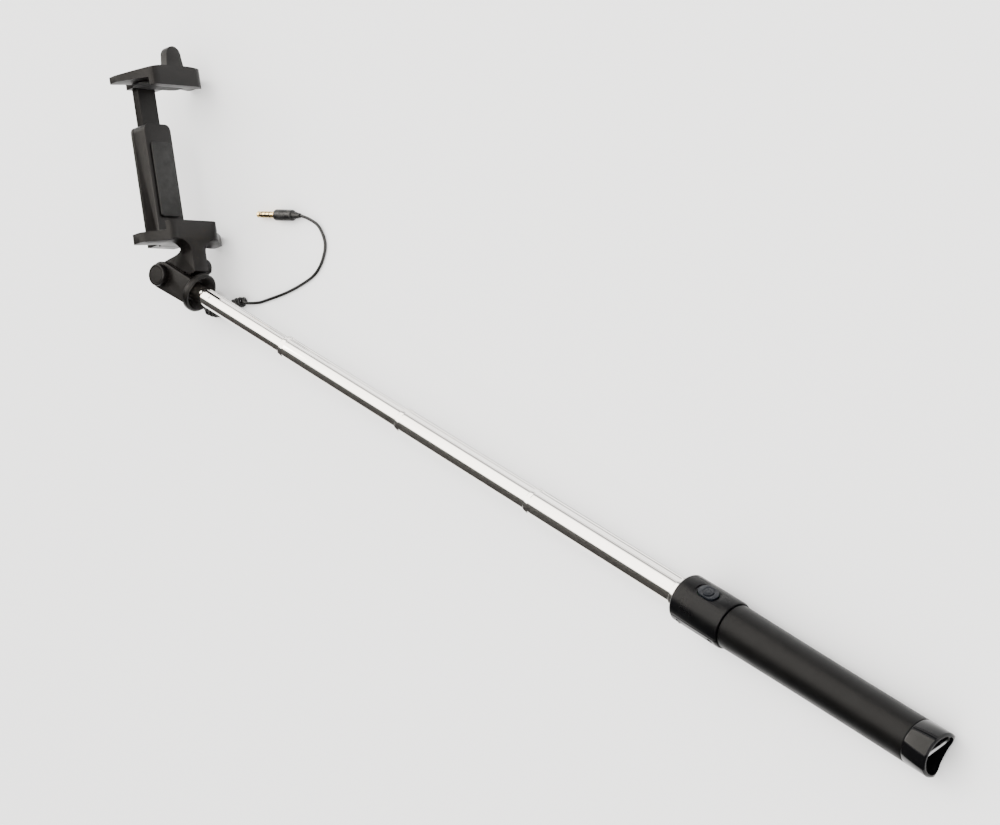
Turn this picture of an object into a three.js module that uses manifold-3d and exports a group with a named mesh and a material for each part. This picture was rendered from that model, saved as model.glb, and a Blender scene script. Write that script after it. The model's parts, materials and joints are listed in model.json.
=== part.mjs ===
// Wired telescopic selfie stick, lying on its side at full reach, with a spring clamp for a phone.
// Millimetres. The row frame has +Z up from the surface that the stick lies on.
import * as THREE from 'three';
import Module from 'manifold-3d';
import { mergeVertices } from 'three/addons/utils/BufferGeometryUtils.js';

const wasm = await Module();
wasm.setup();

// ---- Driving dimensions -------------------------------------------------------------------
// Stations along the stick's axis, counted from the tilt hinge towards the tail.
const CUP_RIM = 24;
const MOUTH = [14, 91, 181, 275.5, 377];      // upper end of each tube, thinnest first
const TAIL_END = [111, 204, 306, 411, 524];   // lower end of each tube
const TUBE_RADIUS = [4.8, 5.8, 6.5, 7.15, 7.95];
const TUBE_WALL = 0.4;
const LIP_LENGTH = 3;
const BUSH_LENGTH = 7;
const HOUSING_START = 381.3;
const GRIP_START = 413;
const GRIP_END = 531;
const CAP_END = 545.6;
const STRAP_BAR_AT = 540.2;
const SCOOP_TURN = -45;                       // degrees about the axis, from the handle's own Y
const HANDLE_ROLL = 58;                       // degrees that the button is turned from the top

const HOUSING_RADIUS = 12.1;
const GRIP_RADIUS = 11.3;
const CORE_RADIUS = 10.1;
const CORE_BORE = 8.3;

// The clamp. Its own axes are X to the display side, Y from jaw to jaw, Z across the jaws.
const STICK_TO_CLAMP = 37;                    // degrees from the stick's axis to the clamp's X
const HINGE_EYE = 7;
const FORK_HALF = 8;
const SLOT_HALF = 5.3;
const SLOT_REACH = 13;
const CUP_RADIUS = 10.4;
const LOWER_GRIP = 20.5;
const UPPER_GRIP = LOWER_GRIP + 77.8;
const LIP_FRONT = 22;
const JAW_REACH = 29.5;
const JAW_BOTTOM = 14;
const PLATE_BOTTOM = 15.2;
const COVER_SCREW_AT = 17.9;
const STEM_HALF = 5;
const GAP = 0.3;

// The cord. Its route is counted from the floor under the tilt hinge.
const CORD_DIAMETER = 1.6;
const CURL_DIAMETER = 5.6;
const GLAND_AT = 17.2;
const GLAND_TIP = -15.6;
const GLAND_SIDE = -3.5;
const PLUG_AT = [50.1, 55.7];
const PLUG_HEIGHT = 3.1;
const PLUG_TURN = 201.7;                      // degrees from +X to the way that the plug points
const LEAD_ROUTE = [
  [16.67, -3.9, 13.4], [16.6, -4.1, 11.4], [16.1, -4.9, 8.6], [14.4, -6.1, 5.6], [10.8, -7, 3.2],
  [6.4, -7.6, 1.8], [2, -8.6, 1.2], [-1.2, -10.3, 1.3], [-1.9, -13, 1.8], [0.3, -15.5, 2.5], [3.2, -16.3, 2.8],
];
const CURL_ROUTE = [
  [3.6, -16.3, 2.85], [9, -16.1, 2.85], [14, -14.4, 2.85], [18.4, -10.8, 2.85], [22.4, -6.6, 2.85],
  [26.2, -3.4, 2.85], [30.4, -1.6, 2.85],
];
const TAIL_ROUTE = [
  [30.8, -1.5, 2.7], [33.8, -0.6, 1.6], [38.2, 1.7, 0.85], [46, 7.5, 0.85], [55.8, 15.4, 0.85],
  [64.3, 23.8, 0.85], [69.8, 30.7, 0.85], [72.2, 37.4, 0.85], [72.3, 43.9, 0.85], [70.9, 48.6, 0.85],
  [67.4, 52.6, 1], [62.2, 55.7, 1.5], [56, 56.4, 2.5], [50.4, 55.8, 3.08],
];

// ---- Helpers --------------------------------------------------------------------------------
const ROUND = 40;
const FINE = 24;
const rad = THREE.MathUtils.degToRad;

function asSolid(geometry) {
  const plain = geometry.clone();
  plain.deleteAttribute('normal');
  plain.deleteAttribute('uv');
  const merged = mergeVertices(plain, 1e-4);
  return new wasm.Manifold(new wasm.Mesh({
    numProp: 3,
    vertProperties: new Float32Array(merged.attributes.position.array),
    triVerts: new Uint32Array(merged.index.array),
  }));
}

function asGeometry(solid) {
  const mesh = solid.getMesh();
  const geometry = new THREE.BufferGeometry();
  geometry.setAttribute('position', new THREE.BufferAttribute(mesh.vertProperties, 3));
  geometry.setIndex(new THREE.BufferAttribute(mesh.triVerts, 1));
  return geometry;
}

// A closed outline of [place along X, radius] turned about the X axis.
function turned(profile, segments = ROUND) {
  const points = profile.map(([along, radius]) => new THREE.Vector2(radius, along));
  const onAxis = profile[0][1] === 0;
  if (!onAxis) points.push(points[0].clone());
  return new THREE.LatheGeometry(points, segments).rotateZ(-Math.PI / 2);
}

function ring(from, to, outer, inner, segments = ROUND) {
  return turned([[from, inner], [from, outer], [to, outer], [to, inner]], segments);
}

function rod(from, to, radius, segments = FINE) {
  return turned([[from, 0], [from, radius], [to, radius], [to, 0]], segments);
}

function rodZ(from, to, radius, segments = FINE) {
  return rod(from, to, radius, segments).rotateY(-Math.PI / 2);
}

function box(low, high) {
  const size = high.map((value, i) => value - low[i]);
  const middle = high.map((value, i) => (value + low[i]) / 2);
  return new THREE.BoxGeometry(...size).translate(...middle);
}

// An outline in the X-Y plane, thick along Z.
function plateZ(shape, from, to, curve = 6) {
  const geometry = new THREE.ExtrudeGeometry(shape, {
    depth: to - from, bevelEnabled: false, curveSegments: curve,
  });
  return geometry.translate(0, 0, from);
}

// An outline in the X-Z plane, thick along Y.
function plateY(shape, from, to, curve = 6) {
  return plateZ(shape, 0, to - from, curve).rotateX(Math.PI / 2).translate(0, to, 0);
}

// An outline in the Z-Y plane, thick along X.
function plateX(shape, from, to, curve = 6) {
  return plateZ(shape, 0, to - from, curve).rotateY(-Math.PI / 2).translate(to, 0, 0);
}

// A shape that is the same on both sides of its first axis.
function mirrored(start, half) {
  const shape = new THREE.Shape();
  shape.moveTo(start[0], start[1]);
  half.forEach((step) => {
    if (step.length === 4) shape.quadraticCurveTo(...step);
    else shape.lineTo(...step);
  });
  const ends = [start, ...half.map((step) => step.slice(-2))];
  for (let i = half.length - 1; i >= 0; i -= 1) {
    const [u, v] = ends[i];
    if (half[i].length === 4) shape.quadraticCurveTo(half[i][0], -half[i][1], u, -v);
    else if (v !== 0 || i > 0) shape.lineTo(u, -v);
  }
  return shape;
}

function roundedRect(halfU, halfV, radius, u0 = 0, v0 = 0) {
  const shape = new THREE.Shape();
  const [l, r, b, t] = [u0 - halfU, u0 + halfU, v0 - halfV, v0 + halfV];
  shape.moveTo(l + radius, b);
  shape.lineTo(r - radius, b);
  shape.absarc(r - radius, b + radius, radius, -Math.PI / 2, 0, false);
  shape.lineTo(r, t - radius);
  shape.absarc(r - radius, t - radius, radius, 0, Math.PI / 2, false);
  shape.lineTo(l + radius, t);
  shape.absarc(l + radius, t - radius, radius, Math.PI / 2, Math.PI, false);
  shape.lineTo(l, b + radius);
  shape.absarc(l + radius, b + radius, radius, Math.PI, 1.5 * Math.PI, false);
  return shape;
}

// A round tube of the given diameter along a smooth curve through the points.
function cordTube(route, diameter, sides, steps) {
  const points = route.map((point) => new THREE.Vector3(...point));
  const curve = new THREE.CatmullRomCurve3(points, false, 'centripetal');
  const section = new THREE.Shape();
  for (let i = 0; i < sides; i += 1) {
    const angle = ((i + 0.5) * 2 * Math.PI) / sides;
    const point = [Math.cos(angle) * diameter / 2, Math.sin(angle) * diameter / 2];
    if (i === 0) section.moveTo(...point);
    else section.lineTo(...point);
  }
  return new THREE.ExtrudeGeometry(section, { steps, bevelEnabled: false, extrudePath: curve });
}

// Materials of the real finishes.
const FINISH = {
  chrome: { color: 0xd9d6d0, roughness: 0.08, metalness: 1 },
  steel: { color: 0x9a9a9c, roughness: 0.35, metalness: 1 },
  satin: { color: 0x17171a, roughness: 0.45, metalness: 0 },
  gloss: { color: 0x0c0c0e, roughness: 0.12, metalness: 0 },
  soft: { color: 0x1c1b1c, roughness: 0.8, metalness: 0 },
  rubber: { color: 0x202022, roughness: 0.9, metalness: 0 },
  key: { color: 0x22252b, roughness: 0.4, metalness: 0 },
  board: { color: 0x1f5a36, roughness: 0.5, metalness: 0 },
  nylon: { color: 0xe4e0d4, roughness: 0.6, metalness: 0 },
  gold: { color: 0xd0a548, roughness: 0.25, metalness: 1 },
};

function addPiece(group, name, geometry, finish) {
  const mesh = new THREE.Mesh(geometry, new THREE.MeshStandardMaterial(FINISH[finish]));
  mesh.name = name;
  group.add(mesh);
}

// ---- Telescopic tubes -------------------------------------------------------------------------
// Each tube but the thinnest has a swaged mouth that keeps the next tube's bush inside.
function telescopicTube(index) {
  const outer = TUBE_RADIUS[index];
  const inner = outer - TUBE_WALL;
  const from = MOUTH[index];
  const to = TAIL_END[index];
  if (index === 0) return ring(from, to, outer, inner);
  const throat = TUBE_RADIUS[index - 1] + 0.2;
  return turned([
    [from, throat], [from, outer - 0.25], [from + 0.5, outer + 0.15],
    [from + LIP_LENGTH, outer + 0.15], [from + LIP_LENGTH + 0.5, outer],
    [to, outer], [to, inner], [from + LIP_LENGTH, inner], [from + 1.6, throat],
  ]);
}

// The bush that guides a tube's lower end inside the next tube.
function guideBush(index) {
  const outer = TUBE_RADIUS[index + 1] - TUBE_WALL - 0.15;
  const from = TAIL_END[index] + GAP;
  return turned([
    [from, outer - 2.2], [from, outer - 0.4], [from + 0.8, outer],
    [from + BUSH_LENGTH - 0.8, outer], [from + BUSH_LENGTH, outer - 0.4],
    [from + BUSH_LENGTH, outer - 2.2],
  ]);
}

// ---- Handle ---------------------------------------------------------------------------------
// Drawn with the button on top; the whole handle is then rolled about the stick's axis.
const BUTTON_AT = 397.5;
const BUTTON_LONG = 5.6;
const BUTTON_WIDE = 3.7;
const SCREW_AT = [387.5, 408.5];
const SCREW_Y = -9.2;

function housingShell() {
  const shell = asSolid(turned([
    [HOUSING_START, 8.9], [HOUSING_START, HOUSING_RADIUS - 1.3], [HOUSING_START + 0.4, HOUSING_RADIUS - 0.5],
    [HOUSING_START + 1.3, HOUSING_RADIUS], [GRIP_START - 1.2, HOUSING_RADIUS + 0.15],
    [GRIP_START - GAP, HOUSING_RADIUS - 0.3], [GRIP_START - GAP, 8.9],
    [GRIP_START - 2.4, 8.9], [GRIP_START - 2.4, 10.6],
    [HOUSING_START + 2.2, 10.6], [HOUSING_START + 2.2, 8.9],
  ], 48));
  return shell;
}

function housingTop() {
  const half = asSolid(box([370, -20, -1.4], [430, 20, 20]));
  const opening = plateZ(roundedRect(BUTTON_LONG + GAP, BUTTON_WIDE + GAP, BUTTON_WIDE, BUTTON_AT), 5, 16, 8);
  const rim = roundedRect(BUTTON_LONG + 1.4, BUTTON_WIDE + 1.4, BUTTON_WIDE + 1, BUTTON_AT);
  const dish = plateZ(rim, 11.5, 16, 8);
  return asGeometry(housingShell().intersect(half).subtract(asSolid(opening)).subtract(asSolid(dish)));
}

function housingBottom() {
  const half = asSolid(box([370, -20, -20], [430, 20, -1.4 - GAP]));
  let shell = housingShell().intersect(half);
  SCREW_AT.forEach((along) => {
    const boss = rod(SCREW_Y - 1.4, SCREW_Y + 3.4, 2.5).rotateZ(Math.PI / 2).translate(along, 0, -4.6);
    const inside = asSolid(ring(375, 425, 11.1, 8.7));
    shell = shell.add(asSolid(boss).intersect(inside).intersect(half));
    const well = rod(SCREW_Y - 4, SCREW_Y - 0.6, 1.75).rotateZ(Math.PI / 2).translate(along, 0, -4.6);
    const hole = rod(SCREW_Y - 3, SCREW_Y + 6, 0.95).rotateZ(Math.PI / 2).translate(along, 0, -4.6);
    shell = shell.subtract(asSolid(well)).subtract(asSolid(hole));
  });
  return asGeometry(shell);
}

// A small pan-head screw along +Y, its head's top at Y = 0.
function smallScrew(head, shank, length) {
  const body = asSolid(turned([
    [0, 0], [0, head - 0.3], [0.3, head], [1, head], [1, shank], [length, shank], [length, 0],
  ], 16));
  const slot = asSolid(box([-0.1, -0.22, -head * 0.7], [0.45, 0.22, head * 0.7]));
  const cross = asSolid(box([-0.1, -head * 0.7, -0.22], [0.45, head * 0.7, 0.22]));
  return asGeometry(body.subtract(slot).subtract(cross)).rotateZ(Math.PI / 2);
}

function shutterButton() {
  const outline = roundedRect(BUTTON_LONG, BUTTON_WIDE, BUTTON_WIDE - 0.1, BUTTON_AT);
  const cap = asSolid(plateZ(outline, 10.95, 12.35, 8));
  const dome = asSolid(rodZ(12, 12.7, 2.6).translate(BUTTON_AT, 0, 0));
  const groove = asSolid(ring(12.2, 12.5, 3.2, 2.6).rotateY(-Math.PI / 2).translate(BUTTON_AT, 0, 0));
  return asGeometry(cap.add(dome).subtract(groove));
}

function handleCore() {
  const body = asSolid(ring(GRIP_START + 0.2, GRIP_END - 0.5, CORE_RADIUS, CORE_BORE));
  return asGeometry(body);
}

function gripSleeve() {
  return turned([
    [GRIP_START + GAP, CORE_RADIUS + GAP], [GRIP_START + GAP, GRIP_RADIUS - 0.3],
    [GRIP_START + 1.2, GRIP_RADIUS], [GRIP_START + 60, GRIP_RADIUS - 0.25], [GRIP_END - 1, GRIP_RADIUS],
    [GRIP_END - GAP, GRIP_RADIUS - 0.3], [GRIP_END - GAP, CORE_RADIUS + GAP],
  ], 48);
}

function strapBar(reach, radius) {
  return rodZ(-reach, reach, radius, 16).rotateX(Math.PI / 2).translate(STRAP_BAR_AT, 0, 0);
}

// A hollow cap with a scooped mouth; a bar across the mouth takes a wrist strap.
function tailCap() {
  const body = asSolid(turned([
    [GRIP_END - 6, 0], [GRIP_END - 6, 7.6], [GRIP_END - GAP, 7.6], [GRIP_END - GAP, GRIP_RADIUS - 0.3],
    [GRIP_END + 0.6, GRIP_RADIUS + 0.15], [CAP_END - 1, GRIP_RADIUS + 0.15],
    [CAP_END, GRIP_RADIUS - 0.8], [CAP_END, 0],
  ], 48));
  const hollow = asSolid(rod(GRIP_END + 3, CAP_END + 5, GRIP_RADIUS - 1.5, ROUND));
  const scoop = new THREE.Shape();
  scoop.moveTo(CAP_END + 4, 16);
  scoop.lineTo(CAP_END - 5.8, 16);
  scoop.lineTo(CAP_END - 5.6, 11.5);
  scoop.quadraticCurveTo(CAP_END - 4.4, 9.2, CAP_END - 3, 8);
  scoop.quadraticCurveTo(CAP_END - 0.8, 5.6, CAP_END - 0.15, 1.5);
  scoop.lineTo(CAP_END - 0.15, -16);
  scoop.lineTo(CAP_END + 4, -16);
  const bite = asSolid(plateZ(scoop, -20, 20).rotateX(rad(SCOOP_TURN)));
  const barHole = asSolid(strapBar(10.7, 1.25));
  return asGeometry(body.subtract(hollow).subtract(bite).subtract(barHole));
}

// ---- Head: fork, bolt and nut -------------------------------------------------------------------
function headFork() {
  const side = new THREE.Shape();
  side.absarc(0, 0, HINGE_EYE, Math.PI / 2, 1.5 * Math.PI, false);
  side.lineTo(21, -HINGE_EYE + 0.6);
  side.lineTo(21, HINGE_EYE - 0.4);
  const cheeks = asSolid(plateZ(side, -FORK_HALF, FORK_HALF, 12));
  const cup = asSolid(turned([
    [13, 0], [13, 7.2], [19.4, 7.8], [20.4, CUP_RADIUS - 0.8], [21.2, CUP_RADIUS],
    [CUP_RIM - 0.8, CUP_RADIUS], [CUP_RIM, CUP_RADIUS - 0.7], [CUP_RIM, 0],
  ], 48));
  const funnel = asSolid(turned([
    [18.6, 0], [18.6, 5.6], [CUP_RIM + 1, 9.4], [CUP_RIM + 1, 0],
  ], ROUND));
  const slot = asSolid(box([-12, -13, -SLOT_HALF], [SLOT_REACH, 13, SLOT_HALF]));
  const tubeBore = asSolid(rod(MOUTH[0] - GAP, 20, TUBE_RADIUS[0] + GAP, ROUND));
  const leadHole = asSolid(rod(10, 15, 1.6, 16));
  const boltHole = asSolid(rodZ(-12, 12, 2.3));
  const glandHole = asSolid(rodZ(-16, -5.8, 2.3).translate(GLAND_AT, GLAND_SIDE, 0));
  return asGeometry(cheeks.add(cup).subtract(slot).subtract(funnel).subtract(tubeBore)
    .subtract(leadHole).subtract(boltHole).subtract(glandHole));
}

function hingeBolt() {
  return turned([
    [-16.2, 0], [-16.2, 1.7], [-15.9, 2], [FORK_HALF + GAP, 2], [FORK_HALF + GAP, 5.4],
    [FORK_HALF + 2.6, 5.7], [FORK_HALF + 3.6, 5], [FORK_HALF + 3.6, 4.6],
    [FORK_HALF + 3.3, 4.5], [FORK_HALF + 3.3, 0],
  ], 32).rotateY(-Math.PI / 2);
}

function wingNut() {
  const hub = asSolid(turned([
    [-15.9, 2.3], [-15.9, 4.2], [-15.1, 4.9], [-9.5, 5.2], [-9.5, 2.3],
  ], FINE).rotateY(-Math.PI / 2));
  const wing = new THREE.Shape();
  wing.moveTo(3.2, -4.2);
  wing.quadraticCurveTo(9, -4.4, 13.2, -3.6);
  wing.quadraticCurveTo(16, 0, 13.2, 3.6);
  wing.quadraticCurveTo(9, 4.4, 3.2, 4.2);
  const blade = plateZ(wing, -15.6, -11.8);
  return asGeometry(hub.add(asSolid(blade)).add(asSolid(blade.clone().rotateZ(Math.PI))));
}

// A tapered rubber gland on the fork's lower side, where the cord comes out.
function cordGland() {
  return turned([
    [GLAND_TIP, 1.2], [GLAND_TIP, 1.6], [-9.1, 2.35], [-9.1, 2.7], [-8.35, 2.7],
    [-8.35, 2], [-6.6, 2], [-6.6, 1.2],
  ], 20).rotateY(-Math.PI / 2).translate(GLAND_AT, GLAND_SIDE, 0);
}

// ---- Clamp --------------------------------------------------------------------------------------
// The jaws' outline seen along Y: a broad front lip and two arms swept back.
function jawPlan(front, lipHalf, back) {
  return mirrored([front, 0], [
    [front, lipHalf - 4], [front, lipHalf, front - 3, lipHalf + 1.8],
    [12.6, JAW_REACH - 2.2], [11, JAW_REACH, 9.2, JAW_REACH], [6, JAW_REACH],
    [4.2, JAW_REACH, 4.4, JAW_REACH - 2.4], [7, 15], [7.4, 10.5, back + 1, 10.2], [back, 10.2], [back, 0],
  ]);
}

function lipPlan(front, lipHalf) {
  return mirrored([front, 0], [
    [front, lipHalf - 4], [front, lipHalf, front - 3, lipHalf + 1.8],
    [front - 4.3, lipHalf], [front - 4.3, 0],
  ]);
}

function lowerJaw() {
  const shelf = LOWER_GRIP - 1.3;
  const wings = asSolid(plateY(jawPlan(LIP_FRONT, 16.5, 4), JAW_BOTTOM, shelf));
  const lip = asSolid(plateY(lipPlan(LIP_FRONT, 16.5), shelf - 1, LOWER_GRIP + 3.6));
  const web = new THREE.Shape();
  web.moveTo(LIP_FRONT, 15);
  web.lineTo(12.4, 15);
  web.quadraticCurveTo(14.6, 13.6, 14.4, 11.6);
  web.quadraticCurveTo(14, 8.8, 9, 8);
  web.lineTo(0, HINGE_EYE - 0.2);
  web.absarc(0, 0, HINGE_EYE - 0.2, Math.PI / 2, 1.6 * Math.PI, false);
  web.lineTo(LIP_FRONT - 0.8, -3.4);
  web.quadraticCurveTo(LIP_FRONT, -3.2, LIP_FRONT, -2.4);
  const stem = asSolid(plateZ(web, -STEM_HALF, STEM_HALF, 8));
  const flare = new THREE.Shape();
  flare.moveTo(-15.5, 14.6);
  flare.quadraticCurveTo(-5.4, 13.6, -STEM_HALF, 7);
  flare.lineTo(STEM_HALF, 7);
  flare.quadraticCurveTo(5.4, 13.6, 15.5, 14.6);
  const gusset = asSolid(plateX(flare, 14.8, LIP_FRONT, 8));
  // Room for the fork and the cup, from where they are at rest to one degree nearer.
  let solid = wings.add(lip).add(stem).add(gusset).add(backPlate());
  [0, 1.5].forEach((swing) => {
    const turn = rad(-STICK_TO_CLAMP + swing);
    const cup = turned([
      [12.6, 0], [12.6, 8.3], [19, 8.3], [20.1, CUP_RADIUS + 0.4], [60, CUP_RADIUS + 0.4], [60, 0],
    ], ROUND).rotateZ(turn);
    const cheeks = box([12.6, -9, -9], [21.5, HINGE_EYE, 9]).rotateZ(turn);
    solid = solid.subtract(asSolid(cup)).subtract(asSolid(cheeks));
  });
  [-5, 5].forEach((across) => {
    const thread = rod(PLATE_BACK - 1, PLATE_BACK + 4.6, 1);
    solid = solid.subtract(asSolid(thread.translate(0, COVER_SCREW_AT, across)));
  });
  const hole = asSolid(rodZ(-12, 12, 2.3));
  return asGeometry(solid.subtract(hole));
}

// The back plate stands on the lower jaw and holds the slider's channel, open at the back and top.
const PLATE_FRONT = 5.4;
const PLATE_BACK = -3;
const PLATE_TOP = 80;
const CHANNEL_HALF = 6.6;
const CHANNEL_FRONT = 3.2;
const CHANNEL_FLOOR = 20;

function backPlate() {
  const shape = new THREE.Shape();
  shape.moveTo(-9.5, PLATE_BOTTOM);
  shape.lineTo(-9.5, PLATE_TOP - 4);
  shape.quadraticCurveTo(-9.5, PLATE_TOP, -5.5, PLATE_TOP);
  shape.lineTo(5.5, PLATE_TOP);
  shape.quadraticCurveTo(9.5, PLATE_TOP, 9.5, PLATE_TOP - 4);
  shape.lineTo(9.5, PLATE_BOTTOM);
  const plate = asSolid(plateX(shape, PLATE_BACK, PLATE_FRONT));
  const channel = asSolid(box(
    [PLATE_BACK - 1, CHANNEL_FLOOR, -CHANNEL_HALF], [CHANNEL_FRONT, PLATE_TOP + 1, CHANNEL_HALF],
  ));
  return plate.subtract(channel);
}

function plateCover() {
  const shape = new THREE.Shape();
  shape.moveTo(-9.5, PLATE_BOTTOM + 0.2);
  shape.lineTo(-9.5, PLATE_TOP - 4);
  shape.quadraticCurveTo(-9.5, PLATE_TOP, -5.5, PLATE_TOP);
  shape.lineTo(5.5, PLATE_TOP);
  shape.quadraticCurveTo(9.5, PLATE_TOP, 9.5, PLATE_TOP - 4);
  shape.lineTo(9.5, PLATE_BOTTOM + 0.2);
  let cover = asSolid(plateX(shape, PLATE_BACK - GAP - 1.7, PLATE_BACK - GAP));
  [-5, 5].forEach((across) => {
    const sink = rod(PLATE_BACK - 4, PLATE_BACK - 1 - GAP, 2).translate(0, COVER_SCREW_AT, across);
    const hole = rod(PLATE_BACK - 4, PLATE_BACK, 1.1).translate(0, COVER_SCREW_AT, across);
    cover = cover.subtract(asSolid(sink)).subtract(asSolid(hole));
  });
  return asGeometry(cover);
}

function upperJaw() {
  const shelf = UPPER_GRIP + 1.3;
  const front = LIP_FRONT + 4;
  const top = UPPER_GRIP + 7.6;
  const lipHalf = 17;
  const profile = mirrored([top, 0], [
    [top, 8], [top - 0.6, 17, UPPER_GRIP + 5.8, 24],
    [UPPER_GRIP + 4.6, JAW_REACH + 1], [shelf, JAW_REACH + 1], [shelf, 0],
  ]);
  const crown = asSolid(plateZ(profile, -10, 30).rotateX(Math.PI / 2).rotateZ(Math.PI / 2));
  const wings = asSolid(plateY(jawPlan(front, lipHalf, -2.6), shelf, top)).intersect(crown);
  const lip = asSolid(plateY(lipPlan(front, lipHalf), UPPER_GRIP - 3, shelf + 1));
  const slider = asSolid(box([-2.6, 46, -CHANNEL_HALF + 0.35], [1.6, shelf + 2, CHANNEL_HALF - 0.35]));
  const tongue = new THREE.Shape();
  tongue.moveTo(-6.6, UPPER_GRIP + 5);
  tongue.lineTo(-5.2, UPPER_GRIP + 12.8);
  tongue.absarc(0, UPPER_GRIP + 13.2, 5.2, Math.PI, 0, true);
  tongue.lineTo(6.6, UPPER_GRIP + 5);
  const tab = asSolid(plateX(tongue, 20.6, 25, 8));
  return asGeometry(wings.add(lip).add(slider).add(tab));
}

function jawPad(from, to) {
  const outline = mirrored([17.2, 0], [
    [17.2, 12], [16, 14.5, 13.4, 16.8], [8.6, 16.8], [7, 15], [6.2, 11], [6.2, 0],
  ]);
  return plateY(outline, from, to);
}

// ---- Assembly -------------------------------------------------------------------------------------
const stick = new THREE.Group();
const handle = new THREE.Group();
handle.rotation.x = -rad(HANDLE_ROLL);
const clamp = new THREE.Group();
clamp.rotation.z = rad(STICK_TO_CLAMP);
stick.add(handle, clamp);

for (let i = 0; i < 5; i += 1) addPiece(stick, `tube_${i + 1}`, telescopicTube(i), 'chrome');
for (let i = 0; i < 4; i += 1) addPiece(stick, `guide_bush_${i + 1}`, guideBush(i), 'nylon');

addPiece(handle, 'handle_core', handleCore(), 'satin');
addPiece(handle, 'grip_sleeve', gripSleeve(), 'soft');
addPiece(handle, 'housing_top', housingTop(), 'satin');
addPiece(handle, 'housing_bottom', housingBottom(), 'satin');
SCREW_AT.forEach((along, i) => {
  const screw = smallScrew(1.5, 0.7, 3.3).translate(along, SCREW_Y - 1.9, -4.6);
  addPiece(handle, `housing_screw_${i + 1}`, screw, 'steel');
});
addPiece(handle, 'shutter_button', shutterButton(), 'key');
addPiece(handle, 'tactile_switch', box([BUTTON_AT - 2.2, -2.2, 9.55], [BUTTON_AT + 2.2, 2.2, 10.6]), 'steel');
addPiece(handle, 'switch_board', box([387, -4, 8.4], [408, 4, 9.25]), 'board');
addPiece(handle, 'tail_cap', tailCap(), 'gloss');
addPiece(handle, 'strap_bar', strapBar(10.2, 0.95), 'steel');

addPiece(stick, 'head_fork', headFork(), 'satin');
addPiece(stick, 'hinge_bolt', hingeBolt(), 'satin');
const washer = ring(-FORK_HALF - 1.1, -FORK_HALF - GAP, 4.6, 2.3, FINE).rotateY(-Math.PI / 2);
addPiece(stick, 'hinge_washer', washer, 'steel');
addPiece(stick, 'cord_gland', cordGland(), 'rubber');
addPiece(stick, 'wing_nut', wingNut().rotateZ(rad(47)), 'satin');

addPiece(clamp, 'lower_jaw', lowerJaw(), 'satin');
addPiece(clamp, 'plate_cover', plateCover(), 'satin');
[-5, 5].forEach((across, i) => {
  const screw = smallScrew(1.7, 0.75, 5).rotateZ(-Math.PI / 2);
  screw.translate(PLATE_BACK - 2.6, COVER_SCREW_AT, across);
  addPiece(clamp, `cover_screw_${i + 1}`, screw, 'steel');
});
addPiece(clamp, 'upper_jaw', upperJaw(), 'satin');
addPiece(clamp, 'lower_pad', jawPad(LOWER_GRIP - 1, LOWER_GRIP), 'rubber');
addPiece(clamp, 'upper_pad', jawPad(UPPER_GRIP, UPPER_GRIP + 1), 'rubber');
const backPad = plateX(roundedRect(7, 20, 2, 0, 50), PLATE_FRONT + GAP, PLATE_FRONT + 1.3);
addPiece(clamp, 'back_pad', backPad, 'rubber');
const spring = ring(0, 24.6, 2.4, 1.4, 16).rotateZ(Math.PI / 2).translate(-0.2, 20.8, 0);
addPiece(clamp, 'clamp_spring', spring, 'steel');

// ---- Lay the stick on its side ----------------------------------------------------------------
// It rests on one arm of each jaw and on the tail cap. The floor's normal is square to the line
// through the two arms and a cap's radius away from the middle of the cap.
function armTip(along) {
  const tilt = rad(STICK_TO_CLAMP);
  return new THREE.Vector3(7.6, along, -JAW_REACH).applyAxisAngle(new THREE.Vector3(0, 0, 1), tilt);
}
const lowTip = armTip(16.6);
const highTip = armTip(101);
const arms = highTip.clone().sub(lowTip).normalize();
const reach = new THREE.Vector3(CAP_END - 1, 0, 0).sub(lowTip);
const square = reach.clone().addScaledVector(arms, -reach.dot(arms));
const lift = Math.acos((GRIP_RADIUS + 0.15) / square.length());
const across = square.clone().normalize();
const up = across.clone().multiplyScalar(Math.cos(lift))
  .addScaledVector(across.clone().cross(arms).normalize(), Math.sin(lift));
const along = new THREE.Vector3(1, 0, 0).addScaledVector(up, -up.x).normalize();
const side = up.clone().cross(along);
const lay = new THREE.Matrix4().makeBasis(along, side, up).transpose();
stick.applyMatrix4(lay);

const part = new THREE.Group();
part.add(stick);
part.updateMatrixWorld(true);
const bounds = new THREE.Box3().setFromObject(part, true);
const centre = bounds.getCenter(new THREE.Vector3());
stick.position.sub(new THREE.Vector3(centre.x, centre.y, bounds.min.z));

// ---- Cord and plug, lying on the floor ------------------------------------------------------------
const cord = new THREE.Group();
cord.position.set(stick.position.x, stick.position.y, 0);
part.add(cord);
addPiece(cord, 'cord_lead', cordTube(LEAD_ROUTE, CORD_DIAMETER, 8, 10), 'rubber');
addPiece(cord, 'cord_curl', cordTube(CURL_ROUTE, CURL_DIAMETER, 12, 8), 'rubber');
addPiece(cord, 'cord_tail', cordTube(TAIL_ROUTE, CORD_DIAMETER, 8, 26), 'rubber');

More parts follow.
